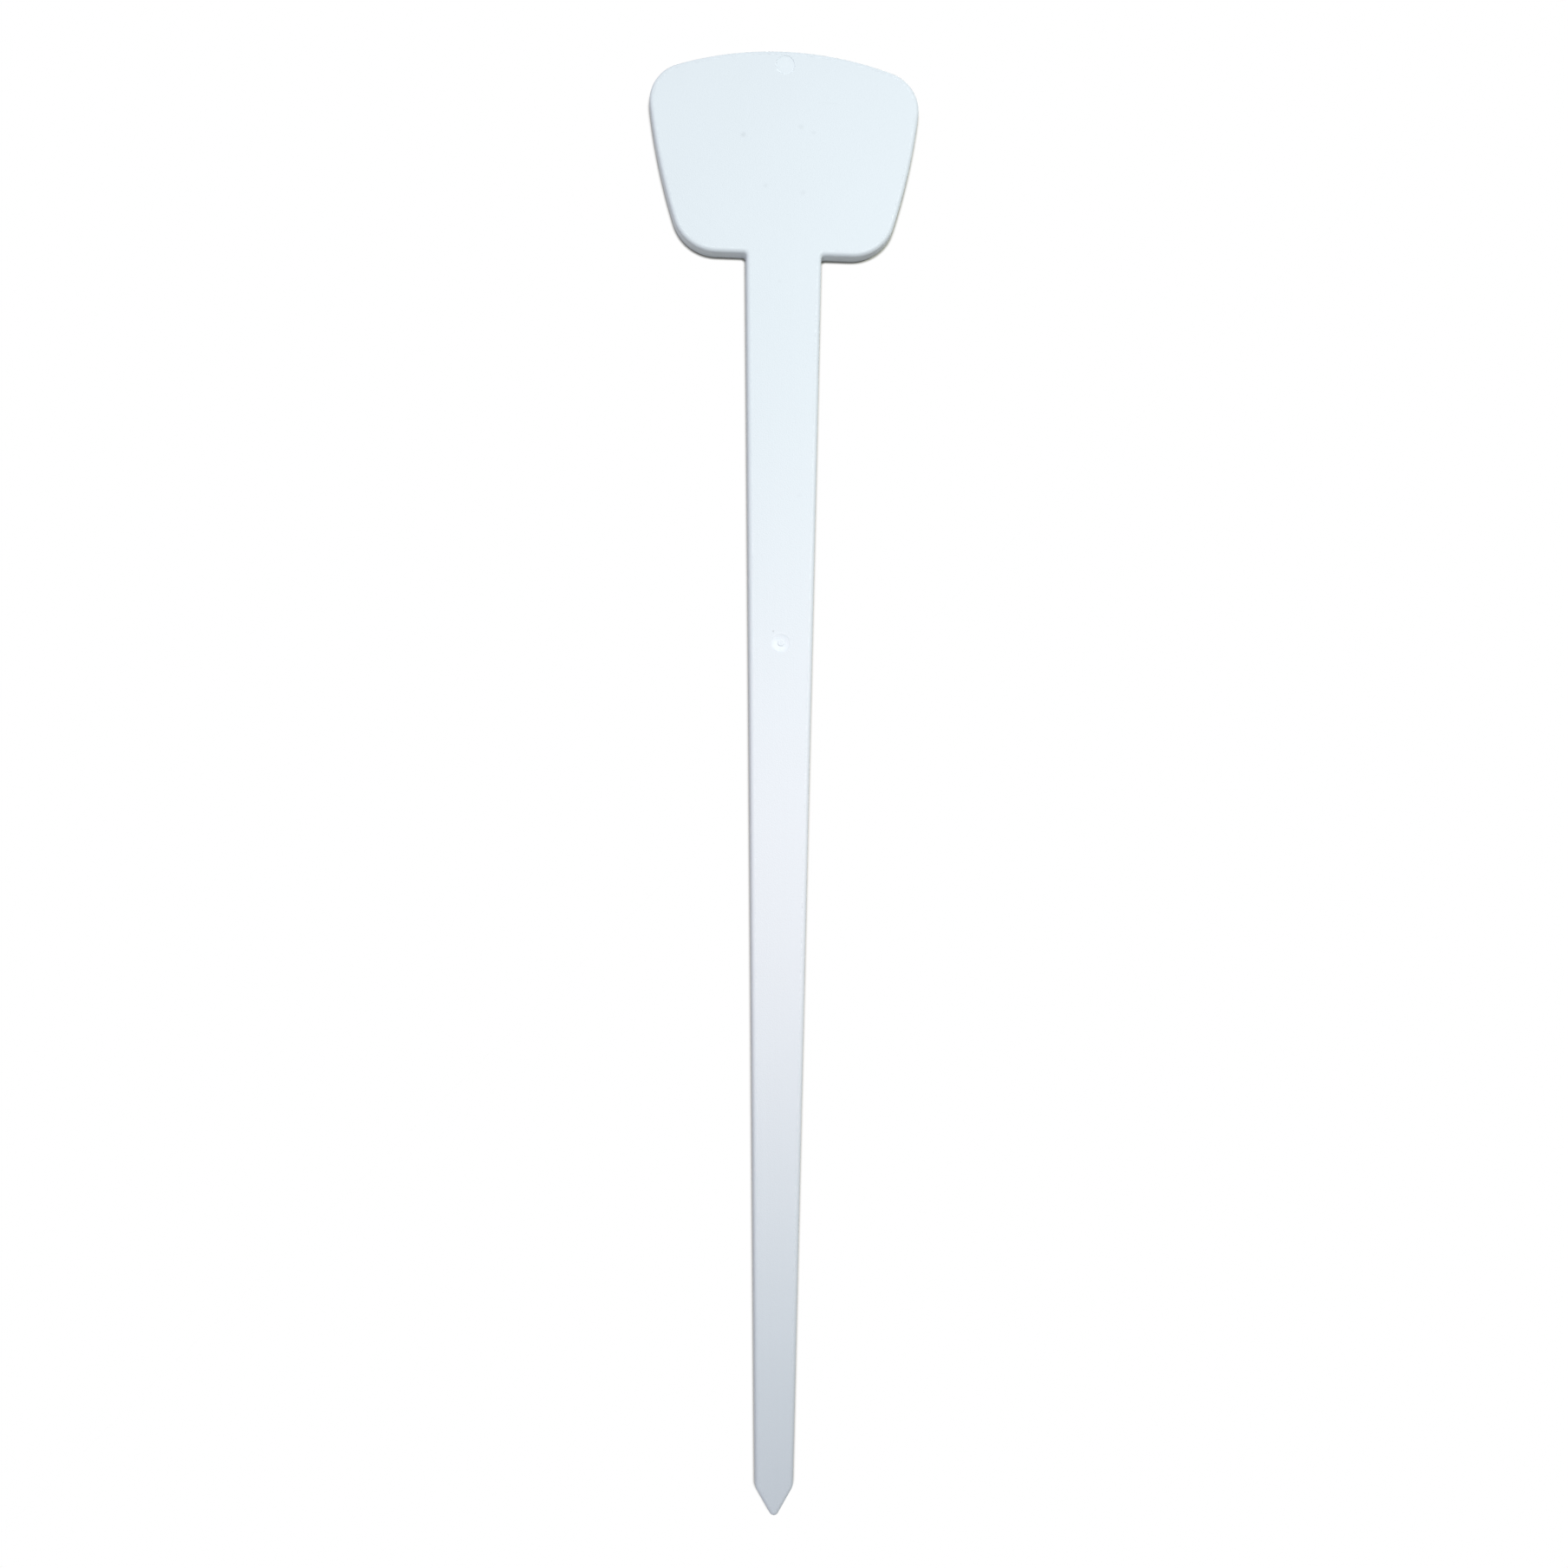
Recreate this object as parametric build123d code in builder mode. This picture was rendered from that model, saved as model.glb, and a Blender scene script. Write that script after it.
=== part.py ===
"""Plant label stake: one flat white plastic moulding, lying on its back, in millimetres.

+X runs across the stake, +Y from the point to the crown and +Z out of the writing face.
The origin is on the flat back, halfway along the stake.
"""
import os
from math import radians, sin, tan

from build123d import *

# Whole moulding
overall_length = 250.0
thickness = 2.6
draft_angle = 1.5  # degrees, on every side wall, so that the moulding leaves its cavity
front_edge_radius = 0.7

# Head: its widths are between the sharp corners that the rounding takes off
head_height = 36.0
head_top_width = 48.0
head_foot_width = 34.5
crown_rise = 5.1
flank_bow = 1.1
crown_corner_radius = 6.9
foot_corner_radius = 7.7

# Stem and point
stem_root_width = 13.2
stem_end_width = 6.4
root_radius = 0.5
shoulder_radius = 2.0
point_angle = 60.0  # degrees, between the two bevels
point_land_radius = 0.1  # what the rounded front edge leaves of the face at the very point

# Ejector pin's print in the face, close under the crown
pin_print_diameter = 3.3
pin_print_depth = 0.08
pin_print_margin = 0.2  # flat land between the rounded front edge and the print

# Gate in the face of the stem: a shallow dish with the broken-off stub standing in it
gate_distance = 103.5  # from the top of the crown
gate_dish_diameter = 3.2
gate_dish_depth = 0.18
gate_stub_diameter = 1.1
gate_stub_clearance = 0.05  # the stub ends this far below the face, so that a label lies flat on it

# What the draft, and then the rounded front edge, take off each side of the face
draft_run = thickness * tan(radians(draft_angle))
edge_inset = draft_run + front_edge_radius
point_radius = edge_inset + point_land_radius

# Places along the stake, from the point up
half_point_angle = radians(point_angle / 2)
point_y = -overall_length / 2
sharp_point_y = point_y - point_radius * (1 / sin(half_point_angle) - 1)
shoulder_y = sharp_point_y + stem_end_width / 2 / tan(half_point_angle)
crown_y = overall_length / 2
foot_y = crown_y - head_height
crown_corner_y = crown_y - crown_rise
gate_y = crown_y - gate_distance
pin_print_y = crown_y - edge_inset - pin_print_margin - pin_print_diameter / 2

# The dish is a cap of this sphere
gate_sphere_radius = (gate_dish_diameter**2 / 4 + gate_dish_depth**2) / (2 * gate_dish_depth)

with BuildPart() as label_stake:
    # Outline of the flat back: the right side, its mirror image, then the crown across both
    with BuildSketch() as outline:
        with BuildLine():
            bevel = Line((0, sharp_point_y), (stem_end_width / 2, shoulder_y))
            stem_side = Line(bevel @ 1, (stem_root_width / 2, foot_y))
            foot = Line(stem_side @ 1, (head_foot_width / 2, foot_y))
            flank = SagittaArc(foot @ 1, (head_top_width / 2, crown_corner_y), -flank_bow)
            mirror(about=Plane.YZ)
            ThreePointArc(flank @ 1, (0, crown_y), (-head_top_width / 2, crown_corner_y))
        make_face()

        # Its corners lie in rows, from the point up: point, shoulders, foot of the head, crown
        fillet(outline.vertices().group_by(Axis.Y)[3], radius=crown_corner_radius)
        foot_row = outline.vertices().group_by(Axis.Y)[2].sort_by(Axis.X)
        fillet([foot_row[0], foot_row[-1]], radius=foot_corner_radius)
        foot_row = outline.vertices().group_by(Axis.Y)[2].sort_by(Axis.X)
        fillet(foot_row[1:-1], radius=root_radius)
        fillet(outline.vertices().group_by(Axis.Y)[1], radius=shoulder_radius)
        fillet(outline.vertices().group_by(Axis.Y)[0], radius=point_radius)

    # Plate with drafted walls, rounded all round its face and sharp at the back, where the mould parts
    extrude(amount=thickness)
    draft(label_stake.faces().filter_by(Axis.Z, reverse=True), neutral_plane=Plane.XY, angle=draft_angle)
    fillet(label_stake.faces().sort_by(Axis.Z)[-1].edges(), radius=front_edge_radius)

    # Ejector pin's print
    with Locations((0, pin_print_y, thickness)):
        Hole(radius=pin_print_diameter / 2, depth=pin_print_depth)

    # Gate dish and its stub
    with Locations((0, gate_y, thickness - gate_dish_depth + gate_sphere_radius)):
        Sphere(radius=gate_sphere_radius, mode=Mode.SUBTRACT)
    with BuildSketch(Plane.XY.offset(thickness - gate_dish_depth)):
        with Locations((0, gate_y)):
            Circle(radius=gate_stub_diameter / 2)
    extrude(amount=gate_dish_depth - gate_stub_clearance)

label_stake.part.label = "label_stake"

os.makedirs("parts", exist_ok=True)
export_step(label_stake.part, "parts/label_stake.step")
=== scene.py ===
"""Looks of the plant label stake: satin white plastic, lying on a white table under soft light from above.

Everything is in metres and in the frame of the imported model: +Y runs from the point to the crown, and +Z
out of the writing face.
"""

import math

import bmesh
import bpy
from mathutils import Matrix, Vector, noise as hills


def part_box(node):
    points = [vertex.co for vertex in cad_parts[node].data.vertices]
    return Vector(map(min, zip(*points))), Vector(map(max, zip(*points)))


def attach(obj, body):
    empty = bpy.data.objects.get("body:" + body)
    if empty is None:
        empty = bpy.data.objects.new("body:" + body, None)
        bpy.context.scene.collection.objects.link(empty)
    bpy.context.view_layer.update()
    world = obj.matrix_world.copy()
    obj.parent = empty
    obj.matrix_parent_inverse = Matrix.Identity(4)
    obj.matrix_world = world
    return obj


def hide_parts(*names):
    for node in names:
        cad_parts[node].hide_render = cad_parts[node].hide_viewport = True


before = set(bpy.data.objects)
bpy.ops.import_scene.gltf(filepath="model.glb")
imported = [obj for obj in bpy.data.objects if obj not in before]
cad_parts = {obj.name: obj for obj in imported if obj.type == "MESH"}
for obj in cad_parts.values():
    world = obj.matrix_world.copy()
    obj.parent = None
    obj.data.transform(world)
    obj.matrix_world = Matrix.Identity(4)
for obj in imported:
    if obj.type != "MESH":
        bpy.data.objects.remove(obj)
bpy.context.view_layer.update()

MM = 0.001

# The photograph's camera: its place, its turn about X, Y and Z in degrees, and its focal length and sensor
# width in millimetres
CAMERA_PLACE = (-17.2 * MM, -13.2 * MM, 254.8 * MM)
CAMERA_TURN = (2.357, -4.083, 0.445)
CAMERA_LENS = 34.13
CAMERA_SENSOR = 36.0
CAMERA_NEAR = 10 * MM

# Light: a nearly white window high on the right beyond the crown, a weak warm lamp on the middle of the
# stem, and a slightly blue room around both that is lighter beyond the crown and on the left. Cones are in
# degrees, powers in watts.
ROOM_LEVEL = 0.42
ROOM_COLOUR = (0.89, 0.88, 1.0)
ROOM_SLOPE = (-0.5, 0.35, 0.0)
WINDOW_PLACE = (0.3, 0.28, 0.91)
WINDOW_AIM = (-0.005, 0.0545, 0.0)
WINDOW_CONE = 28.8
WINDOW_POWER = 23.8
WINDOW_COLOUR = (0.948, 1.0, 0.948)
LAMP_PLACE = (0.02, -0.05, 0.95)
LAMP_AIM = (0.0, -0.0189, 0.0)
LAMP_CONE = 8.8
LAMP_POWER = 4.47
LAMP_COLOUR = (1.0, 0.595, 0.568)
LIGHT_RADIUS = 0.04

# The table: its size, its tone where the shadow shows it, and the contact shadow, which reaches this far
# from the stake and is deepest on the point's side. It is whole where the table sees less of the sky than
# the first share, and gone where it sees more than the second.
TABLE_SIZE = 6.0
TABLE_TONE = (0.38, 0.38, 0.33)
CONTACT_REACH = 0.65 * MM
CONTACT_LEAN = (-0.1, 0.55, 0.83)
SHADOW_WHOLE_SHARE = 0.4
SHADOW_GONE_SHARE = 0.96
CONTACT_SAMPLES = 16

# The plastic's colour and finish
PLASTIC = (0.80, 0.86, 0.90)
PLASTIC_IOR = 1.5
ROUGHNESS = 0.5
ROUGHNESS_SPREAD = 0.18

# Shares of the colour that slow clouds, flow streaks, the gate's whitening with painted light over its dish,
# the pin's print and hairlines change, and how much smoother the pin's print is
MOTTLE = 0.03
STREAK = 0.02
GATE_BLUSH_AND_PAINTED_LIGHT = 0.08
PIN_LIGHTENING = 0.05
HAIRLINE_SHADE = 0.03
PIN_POLISH = 0.12

# Sizes of the surface's detail, and how deep each kind goes. The head's streaks have their full spread at
# HEAD_WIDE.
CLOUD = 14 * MM
GRAIN = 0.22 * MM
RAGGED = 0.12 * MM
HAIRLINE_CELL = 7 * MM
HAIRLINE_WIDTH = 0.035 * MM
HAIRLINE_SWAY = 6 * MM
HAIRLINE_STRETCH = 2.5 * MM
STREAK_LENGTH = 22 * MM
STREAKS_ACROSS = 5.0
HEAD_WIDE = 112 * MM
CUTTER_STEP = 0.16 * MM
CUTTER_LENGTH = 4 * MM
CLOUD_HEIGHT = 0.03 * MM
GRAIN_HEIGHT = 0.026 * MM
STREAK_HEIGHT = 0.012 * MM
HAIRLINE_DEPTH = 0.004 * MM
CUTTER_HEIGHT = 0.008 * MM

# Small dark specks and scuffs: place on the face, radius and how much they darken it
MARKS = (
    (-1.3 * MM, 23.45 * MM, 0.30 * MM, 0.22),
    (-7.2 * MM, 109.7 * MM, 0.80 * MM, 0.10),
    (2.8 * MM, 111.5 * MM, 0.75 * MM, 0.07),
    (5.0 * MM, 110.6 * MM, 0.65 * MM, 0.05),
    (-3.3 * MM, 100.9 * MM, 0.70 * MM, 0.06),
    (3.2 * MM, 99.9 * MM, 0.85 * MM, 0.05),
    (-0.7 * MM, 84.2 * MM, 0.60 * MM, 0.03),
    (3.0 * MM, 46.9 * MM, 0.60 * MM, 0.03),
)

# The stake's sizes. Widths are between the sharp corners that the rounding takes off.
low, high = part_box("label_stake")
face_z = high.z
crown_y = high.y
DRAFT = math.radians(1.5)
FRONT_RADIUS = 0.7 * MM
BACK_RADIUS = 0.08 * MM
HEAD_FOOT = crown_y - 36 * MM
HEAD_TOP_HALF = 24 * MM
HEAD_FOOT_HALF = 17.25 * MM
CROWN_RISE = 5.1 * MM
FLANK_BOW = 1.1 * MM
CROWN_CORNER = 6.9 * MM
FOOT_CORNER = 7.7 * MM
STEM_ROOT_HALF = 6.6 * MM
STEM_END_HALF = 3.2 * MM
ROOT_RADIUS = 0.5 * MM
SHOULDER_RADIUS = 2.0 * MM
HALF_POINT_ANGLE = math.radians(30)
POINT_LAND = 0.1 * MM
LAND = 0.06 * MM

# The ejector pin's print, and the gate's dish with the torn stub in it
PIN_Y = 122.38 * MM
PIN_RADIUS = 1.65 * MM
PIN_DEPTH = 0.08 * MM
GATE_Y = 21.5 * MM
GATE_RADIUS = 1.6 * MM
GATE_DEPTH = 0.18 * MM
STUB_RADIUS = 0.55 * MM
STUB_TOP = 0.05 * MM
TEAR = 0.05 * MM
TEAR_GRAIN = 0.3 * MM

# Steps of the outline: on the bevels, on curves and under the head, and along the stem
FINE = 0.5 * MM
MEDIUM = 1 * MM
COARSE = 3 * MM
WIDEST_TURN = math.radians(6)

# Steps round a recess, over the back edge's rounding and over the front edge's
RECESS_STEPS = 48
BACK_STEPS = 3
FRONT_STEPS = 12


def line_centre(a, b, c, radius):
    """Centre of a circle that touches the lines a-b and b-c on their left, or with a negative radius on
    their right."""
    into, out = (b - a).normalized(), (c - b).normalized()
    start = a + Vector((-into.y, into.x)) * radius
    gap = b + Vector((-out.y, out.x)) * radius - start
    return start + into * (gap.cross(out) / into.cross(out))


def circles_meet(centre, radius, other, other_radius):
    """The meeting point of two circles that lies farther right."""
    way = (other - centre).normalized()
    gap = (other - centre).length
    along = (gap ** 2 + radius ** 2 - other_radius ** 2) / (2 * gap)
    side = Vector((-way.y, way.x)) * math.sqrt(radius ** 2 - along ** 2)
    return max(centre + way * along + side, centre + way * along - side, key=lambda place: place.x)


def nearest(place, a, b):
    way = (b - a).normalized()
    return a + way * (place - a).dot(way)


def on_circle(place, centre, radius):
    return centre + (place - centre).normalized() * radius


def straight(a, b, step):
    """Places and outward normals from a to short of b."""
    way = (b - a).normalized()
    count = max(1, round((b - a).length / step))
    return [(a.lerp(b, i / count), Vector((way.y, -way.x))) for i in range(count)]


def bend(centre, radius, start, end, inside_corner=False):
    """Places and outward normals along an arc from start to short of end."""
    first = math.atan2(start.y - centre.y, start.x - centre.x)
    last = math.atan2(end.y - centre.y, end.x - centre.x)
    turn = (last - first + math.pi) % (2 * math.pi) - math.pi
    count = math.ceil(max(abs(turn) * radius / MEDIUM, abs(turn) / WIDEST_TURN))
    outward = -1 if inside_corner else 1
    angles = [first + turn * i / count for i in range(count)]
    ways = [Vector((math.cos(a), math.sin(a))) for a in angles]
    return [(centre + way * radius, way * outward) for way in ways]


def point_corner():
    """Radius of the point's corner, and where its two bevels would meet without it."""
    radius = (face_z - low.z) * math.tan(DRAFT) + FRONT_RADIUS + POINT_LAND
    return radius, Vector((0, low.y - radius * (1 / math.sin(HALF_POINT_ANGLE) - 1)))


def outline():
    """The back's outline, up the right side and down the left, as places and outward normals."""
    point_radius, sharp = point_corner()
    shoulder = Vector((STEM_END_HALF, sharp.y + STEM_END_HALF / math.tan(HALF_POINT_ANGLE)))
    root, foot = Vector((STEM_ROOT_HALF, HEAD_FOOT)), Vector((HEAD_FOOT_HALF, HEAD_FOOT))
    top, apex = Vector((HEAD_TOP_HALF, crown_y - CROWN_RISE)), Vector((0, crown_y))

    chord = top - foot
    flank_radius = (chord.length ** 2 / 4 + FLANK_BOW ** 2) / (2 * FLANK_BOW)
    flank_centre = (foot + top) / 2 + Vector((-chord.y, chord.x)).normalized() * (flank_radius - FLANK_BOW)
    crown_radius = (HEAD_TOP_HALF ** 2 + CROWN_RISE ** 2) / (2 * CROWN_RISE)
    crown_centre = Vector((0, crown_y - crown_radius))

    tip = Vector((0, low.y + point_radius))
    at_shoulder = line_centre(sharp, shoulder, root, SHOULDER_RADIUS)
    at_root = line_centre(shoulder, root, foot, -ROOT_RADIUS)
    reach, rise = flank_radius - FOOT_CORNER, HEAD_FOOT + FOOT_CORNER - flank_centre.y
    at_foot = Vector((flank_centre.x + math.sqrt(reach ** 2 - rise ** 2), HEAD_FOOT + FOOT_CORNER))
    inner_flank, inner_crown = flank_radius - CROWN_CORNER, crown_radius - CROWN_CORNER
    at_crown = circles_meet(flank_centre, inner_flank, crown_centre, inner_crown)

    bevel = nearest(tip, sharp, shoulder), nearest(at_shoulder, sharp, shoulder)
    stem = nearest(at_shoulder, shoulder, root), nearest(at_root, shoulder, root)
    under = nearest(at_root, root, foot), nearest(at_foot, root, foot)
    flank = on_circle(at_foot, flank_centre, flank_radius), on_circle(at_crown, flank_centre, flank_radius)
    crown = on_circle(at_crown, crown_centre, crown_radius)

    right = (bend(tip, point_radius, Vector((0, low.y)), bevel[0]) + straight(*bevel, FINE)
             + bend(at_shoulder, SHOULDER_RADIUS, bevel[1], stem[0]) + straight(*stem, COARSE)
             + bend(at_root, ROOT_RADIUS, stem[1], under[0], inside_corner=True) + straight(*under, MEDIUM)
             + bend(at_foot, FOOT_CORNER, under[1], flank[0]) + bend(flank_centre, flank_radius, *flank)
             + bend(at_crown, CROWN_CORNER, flank[1], crown) + bend(crown_centre, crown_radius, crown, apex))
    left = [(Vector((-place.x, place.y)), Vector((-way.x, way.y))) for place, way in reversed(right[1:])]
    return right + [(apex, Vector((0, 1)))] + left


def edge_profile():
    """The edge from the back to the face, as how far it lies inside the back's outline and its height."""
    angles = [math.pi / 2 * i / BACK_STEPS for i in range(BACK_STEPS + 1)]
    rows = [(BACK_RADIUS * (1 - math.sin(a)), BACK_RADIUS * (1 - math.cos(a))) for a in angles]
    centre_z = face_z - FRONT_RADIUS
    centre = centre_z * math.tan(DRAFT) + FRONT_RADIUS / math.cos(DRAFT)
    rows += [(z * math.tan(DRAFT), z) for z in (2 * BACK_RADIUS, centre_z - BACK_RADIUS)]
    for i in range(FRONT_STEPS + 1):
        a = DRAFT + (math.pi / 2 - DRAFT) * i / FRONT_STEPS
        rows.append((centre - FRONT_RADIUS * math.cos(a), centre_z + FRONT_RADIUS * math.sin(a)))
    return [(BACK_RADIUS + LAND, 0.0)] + rows + [(centre + LAND, face_z)]


def bridge(work, lower, upper):
    for i in range(len(lower)):
        work.faces.new((lower[i - 1], lower[i], upper[i], upper[i - 1]))


def fill(work, rings):
    """Flat face inside the first ring and outside the others."""
    edges = [work.edges.get((ring[i - 1], ring[i])) for ring in rings for i in range(len(ring))]
    bmesh.ops.triangle_fill(work, use_beauty=True, edges=edges)


def recess(work, y, rows):
    """A round hollow in the face, through rows of radius, height and roughness down to its middle."""
    rings = []
    for radius, z, rough in rows:
        ring = []
        for i in range(RECESS_STEPS):
            turn = math.tau * i / RECESS_STEPS
            way = Vector((math.cos(turn), math.sin(turn), 0))
            bump = hills.noise(Vector((way.x * radius, way.y * radius, z)) / TEAR_GRAIN) * rough
            place = way * (radius + bump * min(1.0, radius / STUB_RADIUS)) + Vector((0, y, z - abs(bump)))
            ring.append(work.verts.new(place))
        rings.append(ring)
    for outer, inner in zip(rings, rings[1:]):
        bridge(work, outer, inner)
    work.faces.new(rings[-1])
    return rings[0]


def pin_print(work):
    """The ejector pin's shallow print, its edge a little soft."""
    floor = face_z - PIN_DEPTH
    rows = [
        (PIN_RADIUS + LAND, face_z, 0),
        (PIN_RADIUS + 0.3 * LAND, face_z, 0),
        (PIN_RADIUS, face_z - 0.3 * LAND, 0),
        (PIN_RADIUS - 0.1 * LAND, floor + 0.3 * LAND, 0),
        (PIN_RADIUS - 0.4 * LAND, floor, 0),
        (PIN_RADIUS - LAND, floor, 0),
        (0.5 * PIN_RADIUS, floor, 0),
    ]
    return recess(work, PIN_Y, rows)


def gate_dish(work):
    """The gate's dish, a shallow cap, with the torn stub of the sprue standing in it."""
    sphere = (GATE_RADIUS ** 2 + GATE_DEPTH ** 2) / (2 * GATE_DEPTH)
    rows = [(GATE_RADIUS + LAND, face_z, 0), (GATE_RADIUS + 0.4 * LAND, face_z, 0)]
    for share in (0.99, 0.95, 0.88, 0.8, 0.7, 0.6, 0.5, 0.42):
        radius = GATE_RADIUS * share
        rows.append((radius, face_z - GATE_DEPTH + sphere - math.sqrt(sphere ** 2 - radius ** 2), 0))
    floor, top = face_z - GATE_DEPTH, face_z - STUB_TOP
    rows += [
        (STUB_RADIUS, floor + 0.1 * (top - floor), 0.2 * TEAR),
        (STUB_RADIUS * 0.97, floor + 0.6 * (top - floor), 0.6 * TEAR),
        (STUB_RADIUS * 0.88, top, TEAR),
        (STUB_RADIUS * 0.7, top, TEAR),
        (STUB_RADIUS * 0.5, top - 0.2 * TEAR, TEAR),
        (STUB_RADIUS * 0.3, top - 0.3 * TEAR, TEAR),
        (STUB_RADIUS * 0.12, top - 0.2 * TEAR, TEAR),
    ]
    return recess(work, GATE_Y, rows)


def add_moulding():
    """The whole stake as one moulding, in place of the plain solid."""
    work = bmesh.new()
    around = outline()
    rings = []
    for inset, z in edge_profile():
        rings.append([work.verts.new((*(place - way * inset), z)) for place, way in around])
    for lower, upper in zip(rings, rings[1:]):
        bridge(work, lower, upper)
    fill(work, [rings[0]])
    fill(work, [rings[-1], pin_print(work), gate_dish(work)])
    bmesh.ops.recalc_face_normals(work, faces=work.faces)
    for face in work.faces:
        face.smooth = True
    mesh = bpy.data.meshes.new("label_moulding")
    work.to_mesh(mesh)
    work.free()
    piece = bpy.data.objects.new("label_moulding", mesh)
    bpy.context.scene.collection.objects.link(piece)
    mesh.materials.append(white_plastic())
    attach(piece, "root")
    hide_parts("label_stake")


def nodes_of(material):
    """The material's emptied node tree and a function that adds a node with inputs to it."""
    material.use_nodes = True
    tree = material.node_tree
    tree.nodes.clear()

    def add(kind, inputs=None, **settings):
        node = tree.nodes.new(kind)
        for name, value in settings.items():
            setattr(node, name, value)
        for name, value in (inputs or {}).items():
            if isinstance(value, bpy.types.NodeSocket):
                tree.links.new(value, node.inputs[name])
            else:
                node.inputs[name].default_value = value
        return node

    return tree, add


def product(add, a, b):
    return add("ShaderNodeMath", {0: a, 1: b}, operation="MULTIPLY").outputs[0]


def total(add, *values):
    result = values[0]
    for value in values[1:]:
        result = add("ShaderNodeMath", {0: result, 1: value}, operation="ADD").outputs[0]
    return result


def ramp(add, value, start, end, low=0.0, high=1.0, smooth=True):
    """The value taken from start..end to low..high, and held there beyond both."""
    kind = "SMOOTHSTEP" if smooth else "LINEAR"
    fit = {"Value": value, "From Min": start, "From Max": end, "To Min": low, "To Max": high}
    return add("ShaderNodeMapRange", fit, interpolation_type=kind).outputs[0]


def noise(add, place, feature, detail=2.0, roughness=0.5):
    """Noise from 0 to 1 with spots about one feature across, in metres."""
    look = {"Vector": place, "Scale": 1.0 / feature, "Detail": detail, "Roughness": roughness}
    return add("ShaderNodeTexNoise", look).outputs[0]


def distance_to(add, place, x, y, z):
    return add("ShaderNodeVectorMath", {0: place, 1: (x, y, z)}, operation="DISTANCE").outputs["Value"]


def flow_place(add, place):
    """Coordinates that follow the plastic's flow: shares of the width across, and streak lengths along."""
    axis = add("ShaderNodeSeparateXYZ", {"Vector": place})
    stem = ramp(add, axis.outputs["Y"], low.y, HEAD_FOOT, STEM_END_HALF, STEM_ROOT_HALF, smooth=False)
    head = ramp(add, axis.outputs["Y"], HEAD_FOOT, HEAD_WIDE, 0.0, HEAD_TOP_HALF - STEM_ROOT_HALF)
    width = {0: axis.outputs["X"], 1: total(add, stem, head)}
    across = add("ShaderNodeMath", width, operation="DIVIDE").outputs[0]
    along = product(add, axis.outputs["Y"], 1.0 / STREAK_LENGTH)
    return add("ShaderNodeCombineXYZ", {"X": product(add, across, STREAKS_ACROSS), "Y": along}).outputs[0]


def marks(add, place):
    """How much each small dark speck or scuff takes off the colour, with ragged edges."""
    ragged = noise(add, place, RAGGED, detail=3.0, roughness=0.7)
    depths = []
    for x, y, radius, depth in MARKS:
        rim = product(add, total(add, ragged, -0.5), 2.2 * radius)
        away = total(add, distance_to(add, place, x, y, face_z), rim)
        depths.append(ramp(add, away, 0.2 * radius, 0.8 * radius, depth, 0.0))
    return total(add, *depths)


def hairlines(add, place, cloud):
    """Sparse fine scratches, from 0 to 1: short stretches of the lines between wide random cells."""
    bent = add("ShaderNodeTexNoise", {"Vector": place, "Scale": 1.0 / CLOUD, "Detail": 1.0}).outputs[1]
    sway = add("ShaderNodeVectorMath", {0: bent, "Scale": HAIRLINE_SWAY}, operation="SCALE").outputs[0]
    swayed = add("ShaderNodeVectorMath", {0: place, 1: sway}, operation="ADD").outputs[0]
    cells = {"Vector": swayed, "Scale": 1.0 / HAIRLINE_CELL}
    lines = add("ShaderNodeTexVoronoi", cells, feature="DISTANCE_TO_EDGE")
    width = HAIRLINE_WIDTH / HAIRLINE_CELL
    line = ramp(add, lines.outputs["Distance"], 0.3 * width, width, 1.0, 0.0)
    stretches = ramp(add, noise(add, place, HAIRLINE_STRETCH, detail=1.0), 0.58, 0.66)
    return product(add, product(add, line, stretches), ramp(add, cloud, 0.4, 0.6))


def cutter_marks(add, place):
    """Faint lines that the mould's cutter left round the walls; on the flat faces they vanish."""
    fit = (1.0 / CUTTER_LENGTH, 1.0 / CUTTER_LENGTH, 1.0 / CUTTER_STEP)
    scaled = add("ShaderNodeVectorMath", {0: place, 1: fit}, operation="MULTIPLY").outputs[0]
    return noise(add, scaled, 1.0, detail=1.0)


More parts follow.
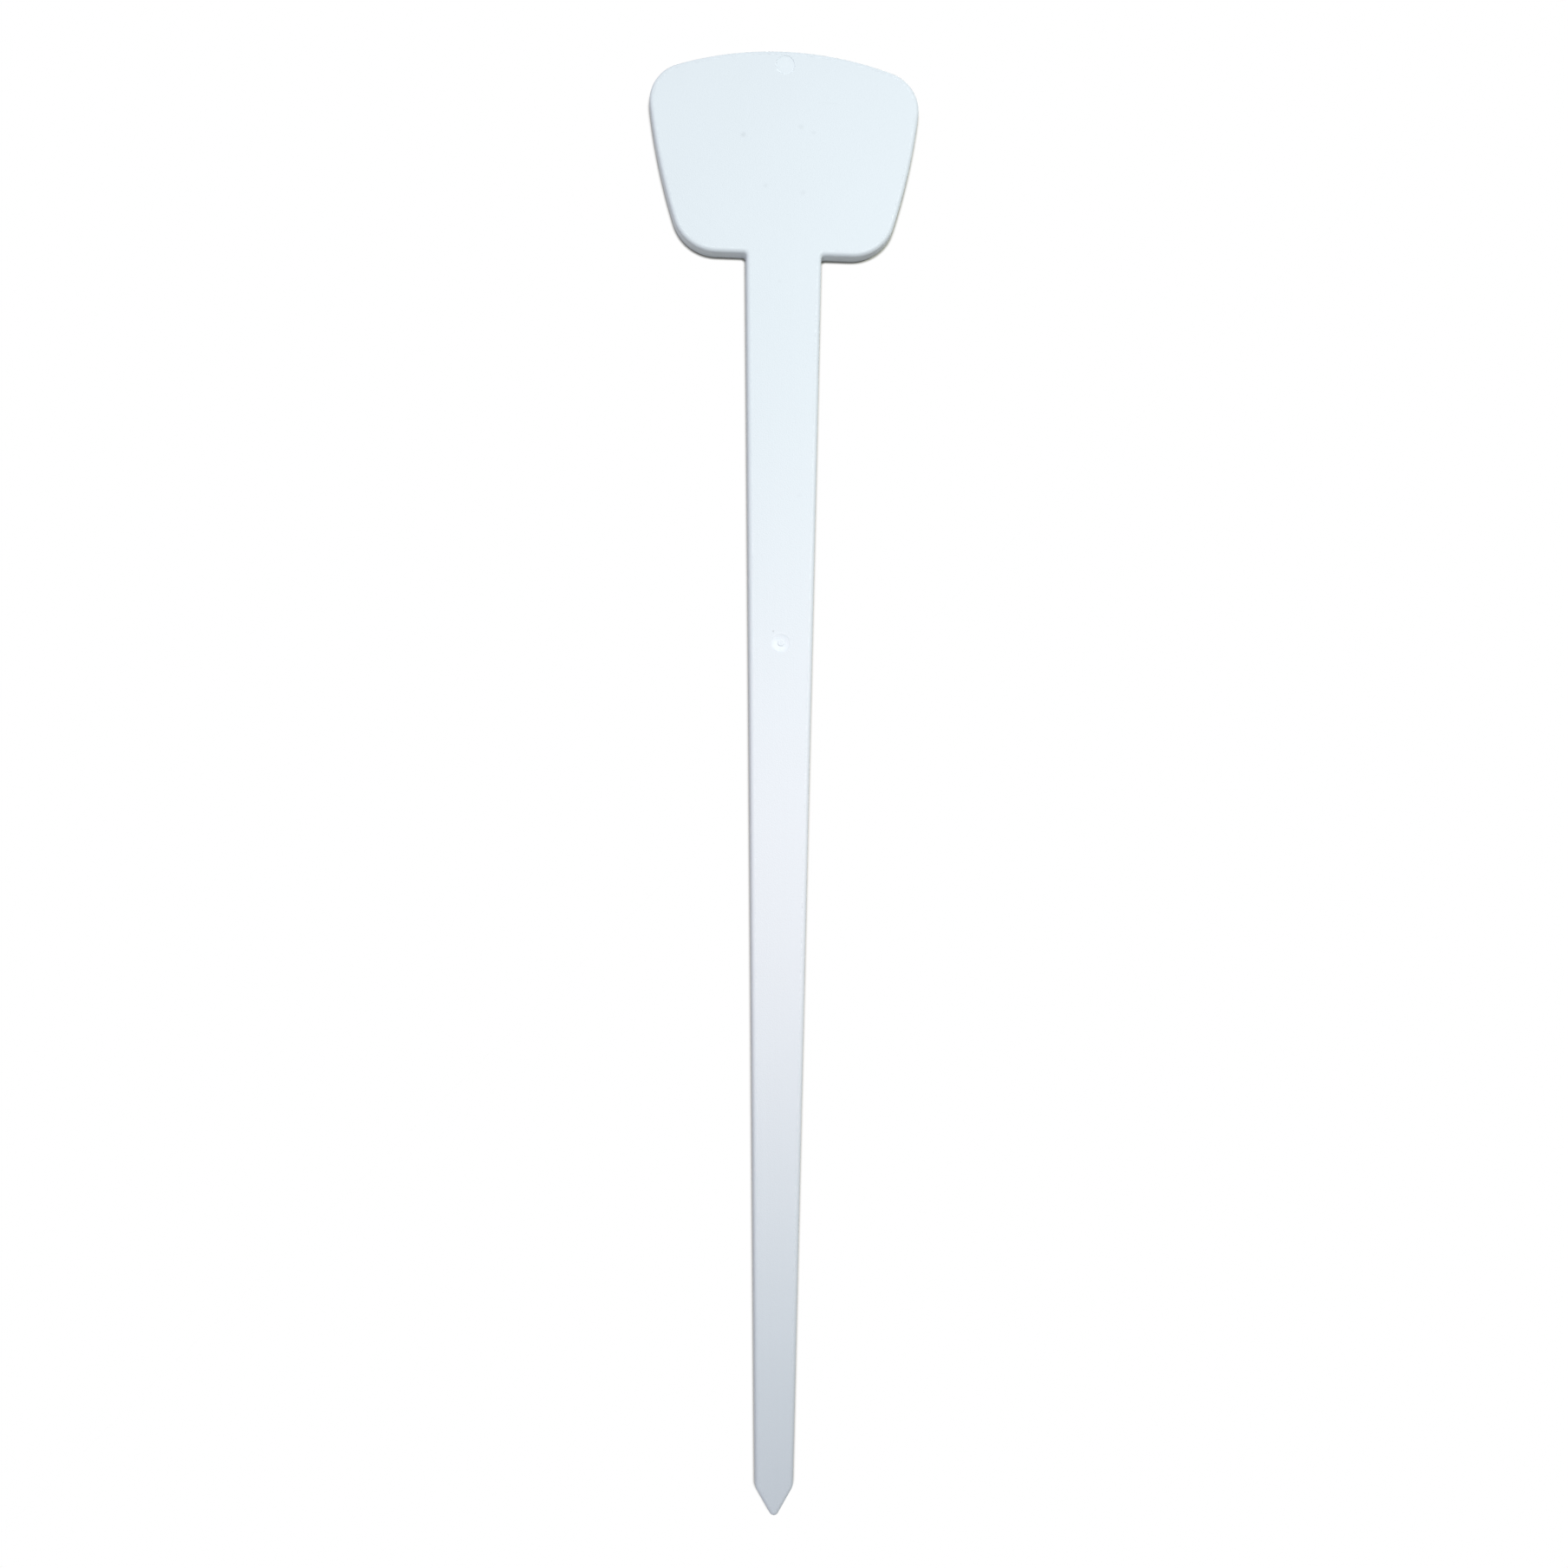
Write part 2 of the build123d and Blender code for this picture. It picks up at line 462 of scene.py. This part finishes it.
def white_plastic():
    """Injection moulded satin plastic, with the marks of its mould and of handling, and painted light in the
    gate's dish.
    """
    material = bpy.data.materials.new("white_plastic_satin")
    tree, add = nodes_of(material)
    place = add("ShaderNodeTexCoord").outputs["Object"]
    cloud = noise(add, place, CLOUD, detail=3.0)
    grain = noise(add, place, GRAIN, detail=2.0, roughness=0.6)
    streaks = noise(add, flow_place(add, place), 1.0, detail=3.0)
    scratches = hairlines(add, place, cloud)

    # Partly painted light: whitening round the gate, spread over the whole dish to lighten the dish's shade
    from_gate = distance_to(add, place, 0.0, GATE_Y, face_z)
    blush_and_painted_light = product(add, ramp(add, from_gate, 0.7 * GATE_RADIUS, 1.25 * GATE_RADIUS, 1.0, 0.0),
                    ramp(add, from_gate, 0.1 * GATE_RADIUS, 0.5 * GATE_RADIUS, 0.4, 1.0))
    # A lighter and smoother patch over the pin's print
    from_pin = total(add, distance_to(add, place, 0.0, PIN_Y, face_z), product(add, cloud, 0.5 * PIN_RADIUS))
    pin_patch = ramp(add, from_pin, 0.4 * PIN_RADIUS, 1.6 * PIN_RADIUS, 1.0, 0.0)

    shade = total(add, 1.0 - 0.5 * MOTTLE - 0.5 * STREAK,
                  product(add, cloud, MOTTLE), product(add, streaks, STREAK),
                  product(add, blush_and_painted_light, GATE_BLUSH_AND_PAINTED_LIGHT), product(add, pin_patch, PIN_LIGHTENING),
                  product(add, scratches, -HAIRLINE_SHADE), product(add, marks(add, place), -1.0))
    colour = add("ShaderNodeVectorMath", {0: PLASTIC, "Scale": shade}, operation="SCALE").outputs[0]

    roughness = total(add, ROUGHNESS - 0.5 * ROUGHNESS_SPREAD,
                      product(add, cloud, 0.3 * ROUGHNESS_SPREAD),
                      product(add, streaks, 0.4 * ROUGHNESS_SPREAD),
                      product(add, grain, 0.3 * ROUGHNESS_SPREAD),
                      product(add, pin_patch, -PIN_POLISH))
    height = total(add, product(add, cloud, CLOUD_HEIGHT), product(add, streaks, STREAK_HEIGHT),
                   product(add, grain, GRAIN_HEIGHT), product(add, scratches, -HAIRLINE_DEPTH),
                   product(add, cutter_marks(add, place), CUTTER_HEIGHT))
    relief = add("ShaderNodeBump", {"Strength": 1.0, "Distance": 1.0, "Height": height})
    skin = {"Base Color": colour, "Roughness": roughness, "IOR": PLASTIC_IOR, "Normal": relief.outputs[0]}
    shader = add("ShaderNodeBsdfPrincipled", skin)
    add("ShaderNodeOutputMaterial", {"Surface": shader.outputs[0]})
    return material


def seen_ray(add):
    """1 for the rays that show the background: from the camera, or by way of a gloss or a clear body."""
    path = add("ShaderNodeLightPath").outputs
    direct = {0: path["Is Camera Ray"], 1: path["Is Glossy Ray"]}
    gloss = add("ShaderNodeMath", direct, operation="MAXIMUM").outputs[0]
    through = {0: gloss, 1: path["Is Transmission Ray"]}
    return add("ShaderNodeMath", through, operation="MAXIMUM").outputs[0]


def table_top():
    """White table: white to the camera up to the stake's contact shadow."""
    material = bpy.data.materials.new("table_white")
    tree, add = nodes_of(material)
    board = add("ShaderNodeBsdfDiffuse", {"Color": (*TABLE_TONE, 1)})
    white = add("ShaderNodeEmission", {"Color": (1, 1, 1, 1), "Strength": 1.0})
    lean = add("ShaderNodeCombineXYZ", {"X": CONTACT_LEAN[0], "Y": CONTACT_LEAN[1], "Z": CONTACT_LEAN[2]})
    reach = {"Distance": CONTACT_REACH, "Normal": lean.outputs[0]}
    open_sky = add("ShaderNodeAmbientOcclusion", reach, samples=CONTACT_SAMPLES).outputs["AO"]
    clear_of = ramp(add, open_sky, SHADOW_WHOLE_SHARE, SHADOW_GONE_SHARE)
    seen = product(add, seen_ray(add), clear_of)
    mix = add("ShaderNodeMixShader", {0: seen, 1: board.outputs[0], 2: white.outputs[0]})
    add("ShaderNodeOutputMaterial", {"Surface": mix.outputs[0]})
    return material


def add_table():
    bpy.ops.mesh.primitive_plane_add(size=TABLE_SIZE, location=(0, 0, low.z))
    table = bpy.context.object
    table.name = "table"
    table.data.materials.append(table_top())


def add_world():
    world = bpy.data.worlds.new("studio")
    bpy.context.scene.world = world
    tree, add = nodes_of(world)
    direction = add("ShaderNodeTexCoord").outputs["Generated"]
    slope = add("ShaderNodeVectorMath", {0: direction, 1: ROOM_SLOPE}, operation="DOT_PRODUCT")
    level = product(add, total(add, slope.outputs["Value"], 1.0), ROOM_LEVEL)
    room = add("ShaderNodeBackground", {"Color": (*ROOM_COLOUR, 1), "Strength": level})
    white = add("ShaderNodeBackground", {"Color": (1, 1, 1, 1), "Strength": 1.0})
    mix = add("ShaderNodeMixShader", {0: seen_ray(add), 1: room.outputs[0], 2: white.outputs[0]})
    add("ShaderNodeOutputWorld", {"Surface": mix.outputs[0]})


def add_spot(name, place, aim, cone, power, colour):
    lamp = bpy.data.lights.new(name, "SPOT")
    lamp.energy = power
    lamp.color = colour
    lamp.spot_size = math.radians(cone)
    lamp.spot_blend = 1.0
    lamp.shadow_soft_size = LIGHT_RADIUS
    holder = bpy.data.objects.new(name, lamp)
    bpy.context.scene.collection.objects.link(holder)
    holder.location = place
    holder.rotation_euler = (Vector(aim) - Vector(place)).to_track_quat("-Z", "Y").to_euler()


def add_camera():
    camera = bpy.data.objects.new("camera", bpy.data.cameras.new("camera"))
    bpy.context.scene.collection.objects.link(camera)
    camera.location = CAMERA_PLACE
    camera.rotation_euler = [math.radians(a) for a in CAMERA_TURN]
    camera.data.sensor_width = CAMERA_SENSOR
    camera.data.lens = CAMERA_LENS
    camera.data.clip_start = CAMERA_NEAR
    bpy.context.scene.camera = camera


add_moulding()
add_table()
add_world()
add_spot("window", WINDOW_PLACE, WINDOW_AIM, WINDOW_CONE, WINDOW_POWER, WINDOW_COLOUR)
add_spot("lamp", LAMP_PLACE, LAMP_AIM, LAMP_CONE, LAMP_POWER, LAMP_COLOUR)
add_camera()

bpy.context.scene.view_settings.view_transform = "Standard"
